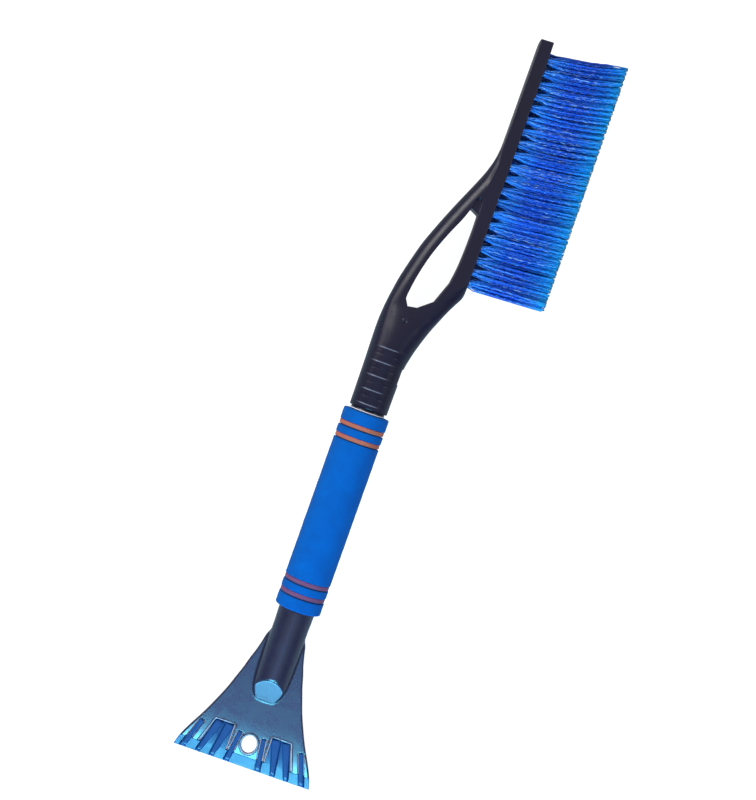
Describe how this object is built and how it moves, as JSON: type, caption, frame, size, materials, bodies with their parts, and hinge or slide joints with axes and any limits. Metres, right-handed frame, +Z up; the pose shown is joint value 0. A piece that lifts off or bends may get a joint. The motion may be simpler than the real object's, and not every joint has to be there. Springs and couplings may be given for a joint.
{
  "type": "snow brush scraper",
  "caption": "Hand snow brush with a blue bristle head on an open looped arm, foam grip and plug-in fan-shaped ice scraper, held by push-button latches.",
  "frame": {"origin": "centre of the footprint at floor level, tool lying flat", "axes": "+Y along the tube from the scraper end to the brush end, +X towards the bristle tips, +Z up out of the front face"},
  "size_m": [0.1706, 0.6602, 0.0395],
  "materials": {
    "black_satin": "satin moulded",
    "black_gloss": "gloss",
    "blue_foam": "matte closed-cell foam",
    "orange_foam": "matte closed-cell foam",
    "blue_bristle": "drawn filament, split tips",
    "blue_blade": "satin moulded"
  },
  "bodies": {
    "handle": {"centre_tube": "black_satin", "foam_grip": "blue_foam", "grip_band_1": "orange_foam", "grip_band_2": "orange_foam", "grip_band_3": "orange_foam", "grip_band_4": "orange_foam", "upper_collar": "black_gloss", "upper_latch_seat": "black_satin", "lower_latch_seat": "black_satin"},
    "upper_latch_arm": {"upper_latch": "black_satin"},
    "lower_latch_arm": {"lower_latch": "black_satin"},
    "brush_head": {"brush_frame": "black_satin", "bristle_rank_01": "blue_bristle", "bristle_rank_02": "blue_bristle", "bristle_rank_03": "blue_bristle", "bristle_rank_04": "blue_bristle", "bristle_rank_05": "blue_bristle", "bristle_rank_06": "blue_bristle", "bristle_rank_07": "blue_bristle", "bristle_rank_08": "blue_bristle", "bristle_rank_09": "blue_bristle", "bristle_rank_10": "blue_bristle", "bristle_rank_11": "blue_bristle", "bristle_rank_12": "blue_bristle", "bristle_rank_13": "blue_bristle", "bristle_rank_14": "blue_bristle", "bristle_rank_15": "blue_bristle", "bristle_rank_16": "blue_bristle", "bristle_rank_17": "blue_bristle", "bristle_rank_18": "blue_bristle", "bristle_rank_19": "blue_bristle", "bristle_rank_20": "blue_bristle"},
    "scraper_head": {"scraper_body": "black_satin", "scraper_blade": "blue_blade"}
  },
  "joints": [
    {"name": "brush_head_slide", "type": "slide", "parent": "handle", "child": "brush_head", "axis": [0, 1, 0], "range_m": [0, 0.075]},
    {"name": "scraper_head_slide", "type": "slide", "parent": "handle", "child": "scraper_head", "axis": [0, -1, 0], "range_m": [0, 0.07]},
    {"name": "upper_latch_press", "type": "hinge", "parent": "handle", "child": "upper_latch_arm", "pos_m": [-0.01515, 0.00123, 0.01975], "axis": [0, 0, 1], "range_deg": [0, 7], "stiffness_Nm_per_rad": 0.5},
    {"name": "lower_latch_press", "type": "hinge", "parent": "handle", "child": "lower_latch_arm", "pos_m": [-0.02415, -0.19277, 0.01075], "axis": [-1, 0, 0], "range_deg": [0, 7], "stiffness_Nm_per_rad": 0.5}
  ]
}
